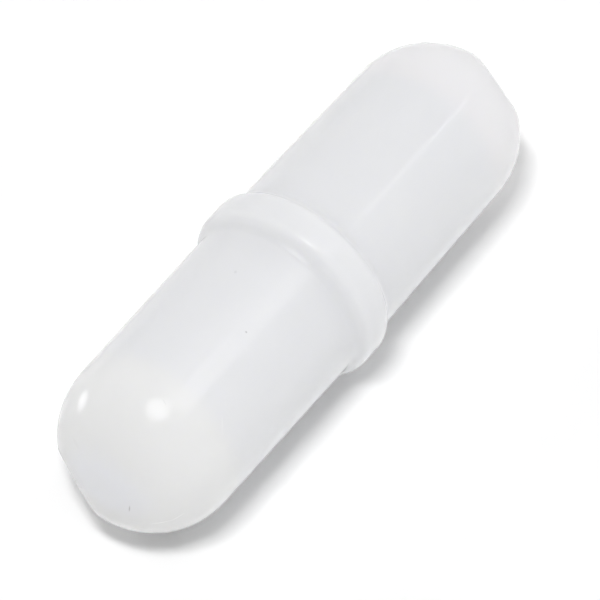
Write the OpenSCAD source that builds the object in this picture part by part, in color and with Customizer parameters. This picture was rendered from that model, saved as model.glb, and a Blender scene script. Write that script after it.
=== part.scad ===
// Magnetic stir bar with a pivot ring: a bar magnet sealed in one moulded fluoropolymer jacket.
// The bar lies level on the land of its pivot ring. X runs along the bar, Z is up, and the
// origin is on the surface it lies on, below the middle of the ring.
// All lengths are in millimetres and all angles in degrees.

/* [Magnet core] */
// Diameter of the magnet rod
magnet_d = 5; // [3:0.1:9]
// Length of the magnet rod
magnet_length = 17.2; // [10:0.2:60]
// Bevel on the edges of the magnet's two ends
magnet_bevel = 0.25; // [0.05:0.05:0.6]
// Gap left all round between the magnet and the moulded jacket
magnet_clearance = 0.02; // [0.01:0.01:0.1]

/* [Jacket] */
// Thickness of the jacket over the magnet's side, beside the pivot ring
side_wall = 1.105; // [0.6:0.005:2.5]
// Thickness of the jacket from the end of the magnet to the tip of the bar
tip_wall = 3.88; // [2.5:0.01:8]
// How much the diameter of the body narrows from the pivot ring to each round end
body_draft = 0.15; // [0.02:0.01:0.4]

/* [Pivot ring] */
// How far the ring stands out from the body
ring_rise = 0.375; // [0.25:0.005:0.8]
// Width of the straight land at the top of the ring
ring_land = 0.56; // [0.2:0.02:2]
// Radius of the crown that falls away on each side of the land
crown_r = 1.1; // [0.6:0.05:2]
// Radius of the shoulder between the crown and the flank
shoulder_r = 0.13; // [0.05:0.01:0.25]
// Radius of the hollow fillet at the ring's root
root_r = 0.4; // [0.1:0.02:1]

/* [Trim flats] */
// Depth of the small flat on the round end at +X
front_flat_depth = 0.25; // [0.05:0.01:0.6]
// Angle between the bar's axis and the direction that this flat faces
front_flat_lean = 33; // [15:0.5:50]
// Angle of this flat around the bar, from its top line towards -Y
front_flat_turn = 49; // [0:1:359]
// Depth of the small flat on the round end at -X
back_flat_depth = 0.28; // [0.05:0.01:0.6]
// Angle between the bar's axis and the direction that this flat faces
back_flat_lean = 35; // [15:0.5:50]
// Angle of this flat around the bar, from its lowest line towards +Y
back_flat_turn = 57; // [0:1:359]

/* [Hidden] */
$fn = 128;
crown_turn = 20;  // how far the crown's arc turns before the shoulder takes over
flank_turn = 62;  // how far the ring's side has turned at the steep flank
arc_step = 5;     // turn between two points on the ring's arcs, at most

magnet_r = magnet_d / 2;
body_r = magnet_r + magnet_clearance + side_wall;
end_r = body_r - body_draft / 2;
half_length = magnet_length / 2 + magnet_clearance + tip_wall;
dome_start = half_length - end_r;
ring_r = body_r + ring_rise;

// Ring section: the land runs into the crown's arc, then the shoulder's arc, the flank and the root.
crown_centre = [ring_r - crown_r, ring_land / 2];
shoulder_centre = crown_centre + (crown_r - shoulder_r) * turned(crown_turn);
shoulder_drop = ring_r - shoulder_centre[0] - shoulder_r * cos(flank_turn);
root_fit_r = min(root_r, (ring_rise - shoulder_drop) / (1 - cos(flank_turn)));
root_reach = shoulder_r + root_fit_r;
root_across = body_r + root_fit_r - shoulder_centre[0];
root_along = (root_reach - root_across * cos(flank_turn)) / sin(flank_turn);
root_end = shoulder_centre[1] + root_along;
root_centre = [body_r + root_fit_r, root_end];

// Direction in the section plane, turned from straight out towards the bar's end.
function turned(angle) = [cos(angle), sin(angle)];

// Points along an arc. A negative radius gives the hollow side of a circle.
function arc(centre, radius, from_angle, to_angle) =
    let (steps = ceil(abs(to_angle - from_angle) / arc_step))
        [for (i = [0:steps])
            centre + radius * turned(from_angle + (to_angle - from_angle) * i / steps)];

// Lays down what is modelled upright, with its middle at the origin, on the pivot ring's land.
module at_rest() {
    translate([0, 0, ring_r])
        rotate([0, 90, 0])
            children();
}

// A rod with bevelled ends, grown by a gap on every side.
module bevelled_rod(gap) {
    rod_r = magnet_r + gap;
    rod_half = magnet_length / 2 + gap;
    rotate_extrude()
        polygon([
            [0, -rod_half],
            [rod_r - magnet_bevel, -rod_half],
            [rod_r, -rod_half + magnet_bevel],
            [rod_r, rod_half - magnet_bevel],
            [rod_r - magnet_bevel, rod_half],
            [0, rod_half]
        ]);
}

// Section of one half of the body: straight under the ring, then a slight taper and a round end.
module body_section() {
    polygon([[0, 0], [body_r, 0], [body_r, root_end], [end_r, dome_start], [0, dome_start]]);
    translate([0, dome_start])
        intersection() {
            circle(end_r);
            square(end_r);
        }
}

// Section of one half of the pivot ring, from its middle to the end of its root.
module ring_section() {
    polygon(concat(
        [[0, 0], [ring_r, 0]],
        arc(crown_centre, crown_r, 0, crown_turn),
        arc(shoulder_centre, shoulder_r, crown_turn, flank_turn),
        arc(root_centre, -root_fit_r, flank_turn, 0),
        [[0, root_end]]
    ));
}

module outer_form() {
    rotate_extrude()
        for (side = [0, 1])
            mirror([0, side]) {
                body_section();
                ring_section();
            }
}

// Takes a small flat off the round end that points up.
module trim_flat(depth, lean, turn) {
    translate([0, 0, dome_start])
        rotate([0, lean, 180 + turn])
            translate([-end_r, -end_r, end_r - depth])
                cube(2 * end_r);
}

// One moulded piece: body, round ends and pivot ring, closed all round the magnet.
module ptfe_jacket() {
    color([0.93, 0.93, 0.92])
        at_rest()
            difference() {
                outer_form();
                bevelled_rod(magnet_clearance);
                trim_flat(front_flat_depth, front_flat_lean, front_flat_turn);
                mirror([0, 0, 1])
                    rotate([0, 0, 180])
                        trim_flat(back_flat_depth, back_flat_lean, back_flat_turn);
            }
}

// Cast magnet rod, held on every side by the jacket.
module magnet_core() {
    color([0.45, 0.45, 0.47])
        at_rest()
            bevelled_rod(0);
}

ptfe_jacket();
magnet_core();
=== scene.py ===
import bpy
import math
from mathutils import Matrix, Quaternion, Vector


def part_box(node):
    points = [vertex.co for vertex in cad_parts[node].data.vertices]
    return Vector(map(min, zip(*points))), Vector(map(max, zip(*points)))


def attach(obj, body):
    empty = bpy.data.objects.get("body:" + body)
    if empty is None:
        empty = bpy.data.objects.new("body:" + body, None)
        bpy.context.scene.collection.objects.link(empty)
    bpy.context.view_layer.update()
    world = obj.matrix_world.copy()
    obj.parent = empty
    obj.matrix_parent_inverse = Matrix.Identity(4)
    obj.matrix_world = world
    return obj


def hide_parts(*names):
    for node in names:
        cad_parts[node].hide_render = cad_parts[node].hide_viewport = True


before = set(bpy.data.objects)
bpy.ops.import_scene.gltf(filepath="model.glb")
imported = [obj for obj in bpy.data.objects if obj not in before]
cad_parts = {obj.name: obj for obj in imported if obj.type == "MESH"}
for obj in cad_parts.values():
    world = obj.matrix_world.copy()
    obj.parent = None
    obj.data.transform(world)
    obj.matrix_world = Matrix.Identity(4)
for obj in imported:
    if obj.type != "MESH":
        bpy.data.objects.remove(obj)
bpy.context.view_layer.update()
mm = 0.001

jacketLow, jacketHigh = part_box("ptfe_jacket")
magnetLow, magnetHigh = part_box("magnet_core")
axisHeight = (jacketLow.z + jacketHigh.z) / 2
halfLength = (jacketHigh.x - jacketLow.x) / 2
ringRadius = (jacketHigh.z - jacketLow.z) / 2
print("frame loaded: bar", round(2 * halfLength / mm, 2), "mm long")


def addNode(tree, kind, **settings):
    node = tree.nodes.new(kind)
    for name, value in settings.items():
        setattr(node, name, value)
    return node


def feed(tree, socket, source):
    # a link if the source is a socket, otherwise a plain value
    if isinstance(source, bpy.types.NodeSocket):
        tree.links.new(source, socket)
    else:
        socket.default_value = source


def mathNode(tree, operation, first, second=None, clamp=False):
    node = addNode(tree, "ShaderNodeMath", operation=operation, use_clamp=clamp)
    for socket, source in zip(node.inputs, (first, second)):
        if source is not None:
            feed(tree, socket, source)
    return node.outputs[0]


def vectorNode(tree, operation, first, second=None, scale=None):
    node = addNode(tree, "ShaderNodeVectorMath", operation=operation)
    feed(tree, node.inputs[0], first)
    if second is not None:
        feed(tree, node.inputs[1], second)
    if scale is not None:
        feed(tree, node.inputs["Scale"], scale)
    return node.outputs["Value" if operation in ("DOT_PRODUCT", "LENGTH") else "Vector"]


# the jacket's turned outline, all lengths in millimetres and angles in degrees
jacketSizes = {
    "bodyRadius": 3.625,
    "frontEndRadius": 3.49,
    "backEndRadius": 3.60,
    "ringLand": 0.62,
    "crownRadius": 1.1,
    "crownTurn": 8,
    "shoulderRadius": 0.5,
    "flankTurn": 42,
    "rootRadius": 0.65,
    "landPoints": 4,
    "arcPoints": 10,
    "domePoints": 52,
    "bodyPoints": 40,
}


def arcPoints(centre, radius, fromAngle, toAngle, steps):
    swing = toAngle - fromAngle
    angles = [math.radians(fromAngle + swing * i / steps) for i in range(steps + 1)]
    return [(centre[0] + radius * math.sin(a), centre[1] + radius * math.cos(a)) for a in angles]


def halfOutline(sizes, end):
    # one half from the middle of the ring to the tip, as (along the bar, radius) pairs
    ring, body = ringRadius / mm, sizes["bodyRadius"]
    land = sizes["ringLand"] / 2
    crown = (land, ring - sizes["crownRadius"])
    turn = math.radians(sizes["crownTurn"])
    reach = sizes["crownRadius"] - sizes["shoulderRadius"]
    shoulder = (crown[0] + reach * math.sin(turn), crown[1] + reach * math.cos(turn))
    flank = math.radians(sizes["flankTurn"])
    drop = ring - shoulder[1] - sizes["shoulderRadius"] * math.cos(flank)
    root = min(sizes["rootRadius"], (ring - body - drop) / (1 - math.cos(flank)))
    along = (sizes["shoulderRadius"] + root) - (body + root - shoulder[1]) * math.cos(flank)
    rootEnd = shoulder[0] + along / math.sin(flank)
    domeStart = halfLength / mm - end
    steps = sizes["arcPoints"]
    points = [(land * i / sizes["landPoints"], ring) for i in range(sizes["landPoints"])]
    points += arcPoints(crown, sizes["crownRadius"], 0, sizes["crownTurn"], steps)
    points += arcPoints(shoulder, sizes["shoulderRadius"], sizes["crownTurn"],
                        sizes["flankTurn"], steps)[1:]
    points += arcPoints((rootEnd, body + root), -root, sizes["flankTurn"], 0, steps)
    for i in range(1, sizes["bodyPoints"]):
        part = i / sizes["bodyPoints"]
        points.append((rootEnd + (domeStart - rootEnd) * part, body + (end - body) * part))
    points += arcPoints((domeStart, 0), end, 0, 90, sizes["domePoints"])
    points[-1] = (halfLength / mm, 0.0)
    return points


def outlineMesh(name, whole):
    mesh = bpy.data.meshes.new(name)
    mesh.from_pydata([(x * mm, 0, r * mm) for x, r in whole],
                     [(i, i + 1) for i in range(len(whole) - 1)], [])
    return mesh


# what the revolve does to the outline; the flats match the solid's own
revolveSizes = {
    "Turns Around": 240,
    "Front Flat Depth": 0.25 * mm,
    "Front Flat Lean": math.radians(33),
    "Front Flat Turn": math.radians(49),
    "Front Edge Softness": 0.07 * mm,
    "Back Flat Depth": 0.28 * mm,
    "Back Flat Lean": math.radians(35),
    "Back Flat Turn": math.radians(57),
    "Back Edge Softness": 0.03 * mm,
    "Wave Height": 0.010 * mm,
    "Wave Size": 170.0,
    "Seed": 7.0,
}
waveDetail = 1.0
waveLean = (0.15, 1.0, 1.0)  # the waves push mostly towards the axis, hardly along it
weldDistance = 0.0005 * mm


def revolvedJacketTree(name):
    tree = bpy.data.node_groups.new(name, "GeometryNodeTree")
    face = tree.interface
    face.new_socket("Geometry", in_out="INPUT", socket_type="NodeSocketGeometry")
    for label in ("Outline Points", "Turns Around"):
        face.new_socket(label, in_out="INPUT", socket_type="NodeSocketInt")
    for label in ("Front Flat Depth", "Front Flat Lean", "Front Flat Turn", "Front Edge Softness",
                  "Back Flat Depth", "Back Flat Lean", "Back Flat Turn", "Back Edge Softness",
                  "Front End Radius", "Back End Radius", "Half Length", "Axis Height",
                  "Wave Height", "Wave Size", "Seed"):
        face.new_socket(label, in_out="INPUT", socket_type="NodeSocketFloat")
    face.new_socket("Material", in_out="INPUT", socket_type="NodeSocketMaterial")
    face.new_socket("Geometry", in_out="OUTPUT", socket_type="NodeSocketGeometry")
    given = addNode(tree, "NodeGroupInput").outputs
    result = addNode(tree, "NodeGroupOutput")

    # a grid with one row for each outline point and one column for each turn
    around = mathNode(tree, "ADD", given["Turns Around"], 1.0)
    grid = addNode(tree, "GeometryNodeMeshGrid")
    feed(tree, grid.inputs["Vertices X"], given["Outline Points"])
    feed(tree, grid.inputs["Vertices Y"], around)
    index = addNode(tree, "GeometryNodeInputIndex").outputs[0]
    row = mathNode(tree, "FLOOR", mathNode(
        tree, "DIVIDE", mathNode(tree, "ADD", index, 0.5), around))
    column = mathNode(tree, "SUBTRACT", index, mathNode(tree, "MULTIPLY", row, around))
    outline = addNode(tree, "GeometryNodeSampleIndex", data_type="FLOAT_VECTOR", domain="POINT")
    feed(tree, outline.inputs["Geometry"], given["Geometry"])
    position = addNode(tree, "GeometryNodeInputPosition").outputs[0]
    feed(tree, outline.inputs["Value"], position)
    feed(tree, outline.inputs["Index"], row)
    turned = addNode(tree, "ShaderNodeVectorRotate", rotation_type="X_AXIS")
    feed(tree, turned.inputs["Vector"], outline.outputs["Value"])
    feed(tree, turned.inputs["Angle"], mathNode(
        tree, "MULTIPLY", column, mathNode(tree, "DIVIDE", -math.tau, given["Turns Around"])))
    place = turned.outputs[0]  # turning this way round leaves the faces pointing outwards

    # shallow moulding waves that only ever sink the surface
    noise = addNode(tree, "ShaderNodeTexNoise", noise_dimensions="4D")
    feed(tree, noise.inputs["Vector"], place)
    feed(tree, noise.inputs["W"], given["Seed"])
    feed(tree, noise.inputs["Scale"], given["Wave Size"])
    noise.inputs["Detail"].default_value = waveDetail
    inward = vectorNode(tree, "NORMALIZE", vectorNode(tree, "MULTIPLY", place, waveLean))
    sink = mathNode(tree, "MULTIPLY", noise.outputs[0], given["Wave Height"])
    place = vectorNode(tree, "SUBTRACT", place, vectorNode(tree, "SCALE", inward, scale=sink))

    # the trim flat on each round end, with its edge worn a little soft
    for end, side in (("Front", 1.0), ("Back", -1.0)):
        lean = given[end + " Flat Lean"]
        turn = given[end + " Flat Turn"]
        soft = given[end + " Edge Softness"]
        sideways = mathNode(tree, "SINE", lean)
        across = mathNode(tree, "MULTIPLY", mathNode(tree, "SINE", turn), -1.0)
        facing = addNode(tree, "ShaderNodeCombineXYZ")
        feed(tree, facing.inputs[0], mathNode(tree, "COSINE", lean))
        feed(tree, facing.inputs[1], mathNode(tree, "MULTIPLY", sideways, across))
        feed(tree, facing.inputs[2], mathNode(
            tree, "MULTIPLY", sideways, mathNode(tree, "COSINE", turn)))
        flatFacing = vectorNode(tree, "SCALE", facing.outputs[0], scale=side)
        radius = given[end + " End Radius"]
        centre = addNode(tree, "ShaderNodeCombineXYZ")
        feed(tree, centre.inputs[0], mathNode(tree, "MULTIPLY", mathNode(
            tree, "SUBTRACT", given["Half Length"], radius), side))
        level = mathNode(tree, "SUBTRACT", radius, given[end + " Flat Depth"])
        reach = vectorNode(tree, "SUBTRACT", place, centre.outputs[0])
        above = mathNode(tree, "SUBTRACT", vectorNode(
            tree, "DOT_PRODUCT", reach, flatFacing), level)
        rounded = mathNode(tree, "SQRT", mathNode(
            tree, "ADD", mathNode(tree, "MULTIPLY", above, above),
            mathNode(tree, "MULTIPLY", soft, soft)))
        cut = mathNode(tree, "MULTIPLY", mathNode(tree, "ADD", above, rounded), 0.5)
        place = vectorNode(tree, "SUBTRACT", place,
                           vectorNode(tree, "SCALE", flatFacing, scale=cut))

    lift = addNode(tree, "ShaderNodeCombineXYZ")
    feed(tree, lift.inputs[2], given["Axis Height"])
    move = addNode(tree, "GeometryNodeSetPosition")
    feed(tree, move.inputs["Geometry"], grid.outputs["Mesh"])
    feed(tree, move.inputs["Position"], vectorNode(tree, "ADD", place, lift.outputs[0]))
    weld = addNode(tree, "GeometryNodeMergeByDistance")
    feed(tree, weld.inputs["Geometry"], move.outputs[0])
    weld.inputs["Distance"].default_value = weldDistance
    smooth = addNode(tree, "GeometryNodeSetShadeSmooth")
    feed(tree, smooth.inputs["Geometry"], weld.outputs[0])
    coat = addNode(tree, "GeometryNodeSetMaterial")
    feed(tree, coat.inputs["Geometry"], smooth.outputs[0])
    feed(tree, coat.inputs["Material"], given["Material"])
    feed(tree, result.inputs["Geometry"], coat.outputs[0])
    return tree


def applyTree(name, mesh, tree, values):
    holder = bpy.data.objects.new(name + "Outline", mesh)
    bpy.context.scene.collection.objects.link(holder)
    modifier = holder.modifiers.new("revolve", "NODES")
    modifier.node_group = tree
    for item in tree.interface.items_tree:
        if item.in_out == "INPUT" and item.name in values:
            modifier[item.identifier] = values[item.name]
    graph = bpy.context.evaluated_depsgraph_get()
    graph.update()
    made = bpy.data.meshes.new_from_object(holder.evaluated_get(graph), depsgraph=graph)
    made.name = name
    holder.modifiers.remove(modifier)
    bpy.data.objects.remove(holder)
    piece = bpy.data.objects.new(name, made)
    bpy.context.scene.collection.objects.link(piece)
    return piece


# jacket plastic: colours are linear, lengths in millimetres
ptfeFinish = {
    "nearClear": (0.727, 0.728, 0.731, 1),
    "farClear": (0.733, 0.728, 0.744, 1),
    "overMagnet": (0.708, 0.713, 0.731, 1),
    "magnetFade": 1.0,
    "fadePastEdge": 0.4,
    "edgeWander": 0.6,
    "edgeWanderSize": 2.5,
    "cloud": (0.755, 0.755, 0.758, 1),
    "cloudShare": 0.15,
    "cloudSize": 2.2,
    "cloudStretch": (0.45, 1.0, 1.0),
    "cloudRange": (0.42, 0.68),
    "speck": (0.45, 0.45, 0.46, 1),
    "speckShare": 0.20,
    "speckSpacing": 1.3,
    "speckRange": (0.060, 0.030),
    "speckPatchSize": 4.0,
    "speckPatchRange": (0.55, 0.62),
    "roughness": (0.07, 0.11),
    "roughnessSize": 1.6,
    "roughnessRange": (0.35, 0.65),
    "subsurface": 1.0,
    "scatter": 3.5,
    "scatterTint": (1.0, 1.0, 0.95),
    "ior": 1.42,
    "glance": (0.62, 0.86),
    "mirror": (0.50, 0.08),
    "grain": 0.05,
    "grainDepth": 0.001,
    "grainSize": 0.35,
}

# small marks, and one large patch of painted shade: place along the bar, angle from the top line
# towards -Y, length and width, how far each is turned off the bar's axis, colour and strength
ptfeMarksAndShade = [
    # painted shade: a soft bluish-grey patch, 5.2 by 2.6 mm, darkens the near tip over its trim
    # flat
    {"along": -12.4, "angle": 10, "size": (5.20, 2.60), "slant": 90,
     "tone": (0.75, 0.76, 0.81, 1), "strength": 0.45},
    {"along": -3.1, "angle": -6, "size": (0.17, 0.13), "slant": 20,
     "tone": (0.42, 0.43, 0.44, 1), "strength": 0.22},
    {"along": -5.0, "angle": 24, "size": (0.10, 0.08), "slant": 70,
     "tone": (0.20, 0.20, 0.21, 1), "strength": 0.45},
    {"along": -9.5, "angle": 16, "size": (0.30, 0.05), "slant": 65,
     "tone": (0.40, 0.40, 0.40, 1), "strength": 0.16},
    {"along": -12.25, "angle": 84, "size": (0.36, 0.06), "slant": 80,
     "tone": (0.30, 0.29, 0.28, 1), "strength": 0.50},
    {"along": -11.8, "angle": -42, "size": (0.60, 0.16), "slant": 35,
     "tone": (0.55, 0.55, 0.55, 1), "strength": 0.10},
    {"along": -11.6, "angle": 106, "size": (0.90, 0.06), "slant": 25,
     "tone": (0.95, 0.95, 0.95, 1), "strength": 0.45},
    {"along": -11.2, "angle": 99, "size": (0.70, 0.06), "slant": 40,
     "tone": (0.95, 0.95, 0.95, 1), "strength": 0.40},
    {"along": -8.4, "angle": 51, "size": (0.80, 0.09), "slant": 50,
     "tone": (0.86, 0.86, 0.86, 1), "strength": 0.14},
    {"along": 3.0, "angle": 6, "size": (0.70, 0.07), "slant": -15,
     "tone": (0.60, 0.60, 0.61, 1), "strength": 0.08},
    {"along": 5.4, "angle": 2, "size": (0.60, 0.06), "slant": 25,
     "tone": (0.60, 0.60, 0.61, 1), "strength": 0.08},
    {"along": 7.0, "angle": 1, "size": (0.80, 0.07), "slant": -5,
     "tone": (0.60, 0.60, 0.61, 1), "strength": 0.08},
    {"along": 1.05, "angle": 56, "size": (0.22, 0.10), "slant": 80,
     "tone": (0.50, 0.50, 0.50, 1), "strength": 0.12},
]
slopeStep = 0.05
entryFade = {"gone": 1.25, "full": 0.35}  # in shares of each entry's half size


def surfaceRadius(along, outline):
    # the outline's own radius at a place along the bar, in millimetres
    for (x0, r0), (x1, r1) in zip(outline, outline[1:]):
        if x0 <= along <= x1 and x1 > x0:
            return r0 + (r1 - r0) * (along - x0) / (x1 - x0)
    return 0.0


def entryShare(tree, coordinates, entry, outline):
    # 1 inside a small ellipse on the surface, fading out at its edge
    angle = math.radians(entry["angle"])
    radius = surfaceRadius(entry["along"], outline)
    spot = Vector((entry["along"], -radius * math.sin(angle), radius * math.cos(angle))) * mm
    ahead = surfaceRadius(entry["along"] + slopeStep, outline)
    behind = surfaceRadius(entry["along"] - slopeStep, outline)
    slope = (ahead - behind) / (2 * slopeStep)
    outward = Vector((-slope, -math.sin(angle), math.cos(angle))).normalized()
    sideways = outward.cross(Vector((1, 0, 0))).normalized()
    forward = sideways.cross(outward)
    slant = math.radians(entry["slant"])
    longWay = forward * math.cos(slant) + sideways * math.sin(slant)
    crossWay = sideways * math.cos(slant) - forward * math.sin(slant)
    offset = vectorNode(tree, "SUBTRACT", coordinates, spot + Vector((0, 0, axisHeight)))
    local = addNode(tree, "ShaderNodeCombineXYZ")
    for socket, way, size in zip(local.inputs, (longWay, crossWay), entry["size"]):
        feed(tree, socket, vectorNode(tree, "DOT_PRODUCT", offset, tuple(way * 2 / (size * mm))))
    feed(tree, local.inputs[2], vectorNode(tree, "DOT_PRODUCT", offset, tuple(outward / mm)))
    fade = addNode(tree, "ShaderNodeMapRange", interpolation_type="SMOOTHSTEP")
    feed(tree, fade.inputs["Value"], vectorNode(tree, "LENGTH", local.outputs[0]))
    fade.inputs["From Min"].default_value = entryFade["gone"]
    fade.inputs["From Max"].default_value = entryFade["full"]
    return mathNode(tree, "MULTIPLY", fade.outputs[0], entry["strength"])


def mixColours(tree, share, first, second):
    node = addNode(tree, "ShaderNodeMix", data_type="RGBA")
    feed(tree, node.inputs[0], share)
    feed(tree, node.inputs[6], first)
    feed(tree, node.inputs[7], second)
    return node.outputs[2]


def noiseNode(tree, coordinates, size, detail=2.0, roughness=0.5):
    # size is about how wide one blotch is, in millimetres
    node = addNode(tree, "ShaderNodeTexNoise")
    feed(tree, node.inputs["Vector"], coordinates)
    node.inputs["Scale"].default_value = 1 / (size * mm)
    node.inputs["Detail"].default_value = detail
    node.inputs["Roughness"].default_value = roughness
    return node.outputs[0]


def rangeNode(tree, value, fromLow, fromHigh, toLow=0.0, toHigh=1.0, soft=False):
    node = addNode(tree, "ShaderNodeMapRange")
    if soft:
        node.interpolation_type = "SMOOTHSTEP"
    feed(tree, node.inputs["Value"], value)
    limits = {"From Min": fromLow, "From Max": fromHigh, "To Min": toLow, "To Max": toHigh}
    for name, number in limits.items():
        node.inputs[name].default_value = number
    return node.outputs[0]


def ptfeMaterial(name, finish, marksAndShade, outline):
    material = bpy.data.materials.new(name)
    material.use_nodes = True
    tree = material.node_tree
    shader = tree.nodes["Principled BSDF"]
    coordinates = addNode(tree, "ShaderNodeTexCoord").outputs["Object"]
    parts = addNode(tree, "ShaderNodeSeparateXYZ")
    feed(tree, parts.inputs[0], coordinates)

    # the grey magnet shows faintly through the wall, and its edge is blurred
    along = mathNode(tree, "ABSOLUTE", parts.outputs[0])
    wander = mathNode(tree, "SUBTRACT", noiseNode(tree, coordinates, finish["edgeWanderSize"]), 0.5)
    blur = mathNode(tree, "MULTIPLY", wander, finish["edgeWander"] * mm)
    edge, fade = magnetHigh.x, finish["magnetFade"] * mm
    over = rangeNode(tree, mathNode(tree, "ADD", along, blur),
                     edge + fade * finish["fadePastEdge"],
                     edge - fade * (1 - finish["fadePastEdge"]), soft=True)
    farEnd = mathNode(tree, "GREATER_THAN", parts.outputs[0], 0.0)
    clear = mixColours(tree, farEnd, finish["nearClear"], finish["farClear"])
    colour = mixColours(tree, over, clear, finish["overMagnet"])

    # sintered grain leaves pale clouds in the plastic, drawn out a little along the bar
    stretched = addNode(tree, "ShaderNodeMapping")
    feed(tree, stretched.inputs["Vector"], coordinates)
    stretched.inputs["Scale"].default_value = finish["cloudStretch"]
    cloudNoise = noiseNode(tree, stretched.outputs[0], finish["cloudSize"], 3.0)
    clouds = rangeNode(tree, cloudNoise, *finish["cloudRange"], 0.0, finish["cloudShare"],
                       soft=True)
    colour = mixColours(tree, clouds, colour, finish["cloud"])

    # sparse dust-sized specks under the surface, in patches
    cells = addNode(tree, "ShaderNodeTexVoronoi")
    feed(tree, cells.inputs["Vector"], coordinates)
    cells.inputs["Scale"].default_value = 1 / (finish["speckSpacing"] * mm)
    dots = rangeNode(tree, cells.outputs["Distance"], *finish["speckRange"])
    patches = rangeNode(tree, noiseNode(tree, coordinates, finish["speckPatchSize"]),
                        *finish["speckPatchRange"], 0.0, finish["speckShare"])
    specks = mathNode(tree, "MULTIPLY", dots, patches)
    colour = mixColours(tree, specks, colour, finish["speck"])
    # the small marks, then the patch of painted shade on the near tip
    for entry in marksAndShade:
        share = entryShare(tree, coordinates, entry, outline)
        colour = mixColours(tree, share, colour, entry["tone"])
    feed(tree, shader.inputs["Base Color"], colour)

    # handling leaves the gloss slightly uneven
    handling = noiseNode(tree, coordinates, finish["roughnessSize"], 4.0, 0.6)
    feed(tree, shader.inputs["Roughness"], rangeNode(
        tree, handling, *finish["roughnessRange"], *finish["roughness"]))
    shader.inputs["IOR"].default_value = finish["ior"]

    # the fine texture of the moulding dulls the mirror at a glancing view
    glance = addNode(tree, "ShaderNodeLayerWeight")
    glance.inputs["Blend"].default_value = 0.5
    feed(tree, shader.inputs["Specular IOR Level"], rangeNode(
        tree, glance.outputs["Facing"], *finish["glance"], *finish["mirror"], soft=True))
    shader.inputs["Subsurface Weight"].default_value = finish["subsurface"]
    shader.inputs["Subsurface Radius"].default_value = finish["scatterTint"]
    shader.inputs["Subsurface Scale"].default_value = finish["scatter"] * mm
    grain = addNode(tree, "ShaderNodeBump")
    grain.inputs["Strength"].default_value = finish["grain"]
    grain.inputs["Distance"].default_value = finish["grainDepth"] * mm
    feed(tree, grain.inputs["Height"], noiseNode(tree, coordinates, finish["grainSize"], 3.0, 0.6))
    feed(tree, shader.inputs["Normal"], grain.outputs[0])
    return material


# cast magnet: ground round its side, left rougher on its two ends; lengths in millimetres
magnetFinish = {
    "ground": (0.33, 0.33, 0.34, 1),
    "cast": (0.20, 0.195, 0.19, 1),
    "lineWidth": 0.06,
    "lineSqueeze": (1.0, 0.05, 0.05),
    "lineRange": (0.3, 0.7),
    "lineShare": 0.35,
    "pitSize": 0.5,
    "pitRange": (0.56, 0.70),
    "endBand": (0.3, 0.05),
    "roughness": (0.32, 0.58),
    "metallic": 0.85,
    "relief": 0.3,
    "reliefDepth": 0.01,
}


def magnetMaterial(name, finish):
    material = bpy.data.materials.new(name)
    material.use_nodes = True
    tree = material.node_tree
    shader = tree.nodes["Principled BSDF"]
    coordinates = addNode(tree, "ShaderNodeTexCoord").outputs["Object"]
    # grinding lines run round the rod, so the pattern is drawn out across the bar
    squeezed = addNode(tree, "ShaderNodeMapping")
    feed(tree, squeezed.inputs["Vector"], coordinates)
    squeezed.inputs["Scale"].default_value = finish["lineSqueeze"]
    lines = noiseNode(tree, squeezed.outputs[0], finish["lineWidth"], 2.0, 0.7)
    pits = rangeNode(tree, noiseNode(tree, coordinates, finish["pitSize"], 4.0, 0.65),
                     *finish["pitRange"], soft=True)
    parts = addNode(tree, "ShaderNodeSeparateXYZ")
    feed(tree, parts.inputs[0], coordinates)
    bandStart, bandEnd = finish["endBand"]
    endFace = rangeNode(tree, mathNode(tree, "ABSOLUTE", parts.outputs[0]),
                        magnetHigh.x - bandStart * mm, magnetHigh.x - bandEnd * mm)
    rough = mathNode(tree, "MAXIMUM", pits, endFace)
    shade = rangeNode(tree, lines, *finish["lineRange"], 0.0, finish["lineShare"])
    colour = mixColours(tree, shade, finish["ground"], finish["cast"])
    feed(tree, shader.inputs["Base Color"], mixColours(tree, rough, colour, finish["cast"]))
    feed(tree, shader.inputs["Roughness"], rangeNode(tree, rough, 0.0, 1.0, *finish["roughness"]))
    shader.inputs["Metallic"].default_value = finish["metallic"]
    relief = addNode(tree, "ShaderNodeBump")
    relief.inputs["Strength"].default_value = finish["relief"]
    relief.inputs["Distance"].default_value = finish["reliefDepth"] * mm
    feed(tree, relief.inputs["Height"], mathNode(tree, "ADD", lines, rough))
    feed(tree, shader.inputs["Normal"], relief.outputs[0])
    return material


frontHalf = halfOutline(jacketSizes, jacketSizes["frontEndRadius"])
backHalf = halfOutline(jacketSizes, jacketSizes["backEndRadius"])
wholeOutline = [(-x, r) for x, r in reversed(backHalf[1:])] + frontHalf
print("materials")
ptfe = ptfeMaterial("ptfeSemiGloss", ptfeFinish, ptfeMarksAndShade, wholeOutline)
castMagnet = magnetMaterial("castMagnetGround", magnetFinish)

line = outlineMesh("jacketOutlineLine", wholeOutline)
revolveValues = {
    **revolveSizes,
    "Outline Points": len(wholeOutline),
    "Front End Radius": jacketSizes["frontEndRadius"] * mm,
    "Back End Radius": jacketSizes["backEndRadius"] * mm,
    "Half Length": halfLength,
    "Axis Height": axisHeight,
    "Material": ptfe,
}
jacket = applyTree("mouldedJacket", line, revolvedJacketTree("revolvedJacket"), revolveValues)
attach(jacket, "root")
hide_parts("ptfe_jacket")
print("jacket:", len(jacket.data.polygons), "faces")

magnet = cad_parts["magnet_core"]
magnet.data.materials.clear()
magnet.data.materials.append(castMagnet)
print("magnet finished")


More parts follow.
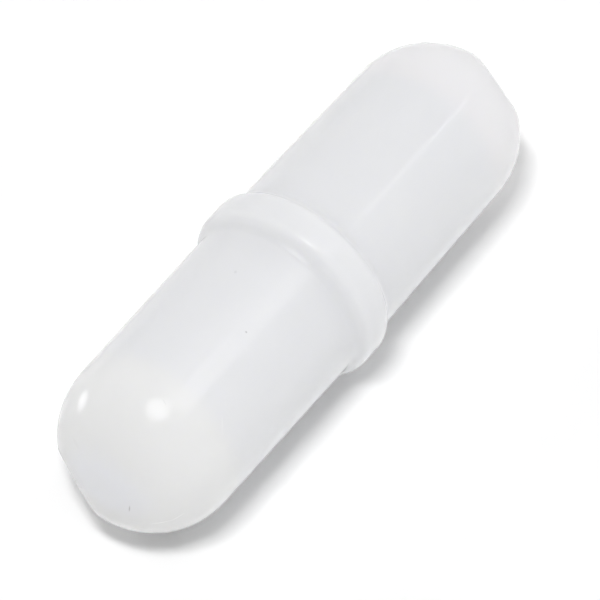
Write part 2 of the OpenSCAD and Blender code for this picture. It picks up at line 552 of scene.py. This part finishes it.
# the studio: lengths in metres, power in watts, turns in degrees
studio = {
    "floorSize": 3.0,
    "floorColour": (0.93, 0.93, 0.93, 1),
    "floorGlow": 0.04,
    "worldStrength": 0.21,
    # lamps that shade the bar and throw its shadow
    "shading": [
        {"name": "keyBox", "at": (-0.180, -0.064, 0.459), "size": (0.05, 0.12), "power": 1.40},
        {"name": "topPanel", "at": (0.30, 0.00, 0.80), "size": (1.40, 1.20), "power": 1.90},
        {"name": "sideFill", "at": (0.15, -0.60, 0.20), "size": (0.50, 0.30), "power": 1.00},
        {"name": "backFill", "at": (0.15, 0.60, 0.30), "size": (0.50, 0.30), "power": 1.18},
        {"name": "farFill", "at": (0.50, -0.10, 0.20), "size": (0.30, 0.30), "power": 0.40},
    ],
    # white panels that only show as reflections
    "panels": [
        {"name": "overheadPanel", "at": (0.190, -0.085, 0.48), "size": (0.19, 0.34),
         "power": 0.14},
        {"name": "overheadCore", "at": (0.190, -0.170, 0.48), "size": (0.19, 0.17),
         "power": 0.11},
        {"name": "farPanel", "at": (0.350, -0.400, 0.48), "size": (0.13, 0.36), "power": 0.045},
        {"name": "edgeTube", "at": (0.220, -0.300, 0.47), "size": (0.48, 0.045), "power": 0.10},
        {"name": "hotSpot", "at": (-0.021, -0.068, 0.48), "size": (0.11, 0.16),
         "power": 0.055, "round": True},
        {"name": "hotSpotHalo", "at": (-0.021, -0.065, 0.485), "size": (0.25, 0.25),
         "power": 0.50, "round": True},
        # a card close beside the near end, so nothing but that end reflects it
        {"name": "smallCard", "at": (-0.0113, 0.0200, 0.0063), "size": (0.0072, 0.0049),
         "power": 0.00030, "round": True, "turn": 16},
    ],
}


def seenDirectly(tree):
    # 1 for what the camera sees, straight or by reflection or transmission
    path = addNode(tree, "ShaderNodeLightPath")
    mirrored = mathNode(tree, "ADD", path.outputs["Is Glossy Ray"],
                        path.outputs["Is Transmission Ray"])
    return mathNode(tree, "ADD", path.outputs["Is Camera Ray"], mirrored, clamp=True)


def floorMaterial(name, settings):
    material = bpy.data.materials.new(name)
    material.use_nodes = True
    tree = material.node_tree
    tree.nodes.remove(tree.nodes["Principled BSDF"])
    output = tree.nodes["Material Output"]
    paint = addNode(tree, "ShaderNodeBsdfDiffuse")
    paint.inputs["Color"].default_value = settings["floorColour"]
    glow = addNode(tree, "ShaderNodeEmission")
    feed(tree, glow.inputs["Strength"], mathNode(
        tree, "MULTIPLY", seenDirectly(tree), settings["floorGlow"]))
    both = addNode(tree, "ShaderNodeAddShader")
    feed(tree, both.inputs[0], paint.outputs[0])
    feed(tree, both.inputs[1], glow.outputs[0])
    feed(tree, output.inputs["Surface"], both.outputs[0])
    return material


def makeFloor(settings):
    side = settings["floorSize"] / 2
    mesh = bpy.data.meshes.new("studioFloor")
    corners = [(-side, -side, 0), (side, -side, 0), (side, side, 0), (-side, side, 0)]
    mesh.from_pydata(corners, [], [(0, 1, 2, 3)])
    mesh.materials.append(floorMaterial("paleFloor", settings))
    floor = bpy.data.objects.new("studioFloor", mesh)
    bpy.context.scene.collection.objects.link(floor)


def makeWorld(settings):
    world = bpy.data.worlds.new("paleRoom")
    bpy.context.scene.world = world
    world.use_nodes = True
    tree = world.node_tree
    room = tree.nodes["Background"]
    room.inputs["Color"].default_value = (1, 1, 1, 1)
    # white where it is seen, and its own strength where it lights the bar
    dim = settings["worldStrength"]
    brighter = mathNode(tree, "MULTIPLY", seenDirectly(tree), 1 - dim)
    feed(tree, room.inputs["Strength"], mathNode(tree, "ADD", brighter, dim))


def makeLamp(lamp, shades):
    light = bpy.data.lights.new(lamp["name"], "AREA")
    light.shape = "ELLIPSE" if lamp.get("round") else "RECTANGLE"
    light.size, light.size_y = lamp["size"]
    light.energy = lamp["power"]
    softbox = bpy.data.objects.new(lamp["name"], light)
    bpy.context.scene.collection.objects.link(softbox)
    softbox.location = Vector(lamp["at"])
    softbox.visible_glossy = not shades
    softbox.visible_diffuse = shades
    softbox.visible_camera = False
    # faces the bar, with its long side kept along the bar
    back = (softbox.location - Vector((0, 0, axisHeight))).normalized()
    side = (Vector((1, 0, 0)) - back * back.x).normalized()
    facing = Matrix((side, back.cross(side), back)).transposed()
    turn = Matrix.Rotation(math.radians(lamp.get("turn", 0)), 3, "Z")
    softbox.rotation_euler = (facing @ turn).to_euler()


makeFloor(studio)
makeWorld(studio)
for lamp in studio["shading"]:
    makeLamp(lamp, True)
for lamp in studio["panels"]:
    makeLamp(lamp, False)
print("studio lit")

# camera: well above the bar, towards its -X end; angles in degrees, distance in metres
cameraView = {
    "azimuth": -144.64,
    "elevation": 51.19,
    "distance": 0.378,
    "roll": -0.14,
    "lens": 603.0,
    "sensor": 36.0,
    "nearClip": 0.01,
    "right": 0.30 * mm,
    "down": 0.59 * mm,
}


def makeCamera(settings):
    data = bpy.data.cameras.new("productCamera")
    data.lens = settings["lens"]
    data.sensor_width = settings["sensor"]
    data.clip_start = settings["nearClip"]
    camera = bpy.data.objects.new("productCamera", data)
    bpy.context.scene.collection.objects.link(camera)
    azimuth, elevation = math.radians(settings["azimuth"]), math.radians(settings["elevation"])
    level = math.cos(elevation)
    away = Vector((level * math.cos(azimuth), level * math.sin(azimuth), math.sin(elevation)))
    turn = away.to_track_quat("Z", "Y") @ Quaternion((0, 0, 1), math.radians(settings["roll"]))
    aim = Vector((0, 0, axisHeight)) + turn @ Vector((settings["right"], -settings["down"], 0))
    camera.rotation_euler = turn.to_euler()
    camera.location = aim + away * settings["distance"]
    return camera


scene = bpy.context.scene
scene.camera = makeCamera(cameraView)
scene.view_settings.view_transform = "Standard"
print("camera set")
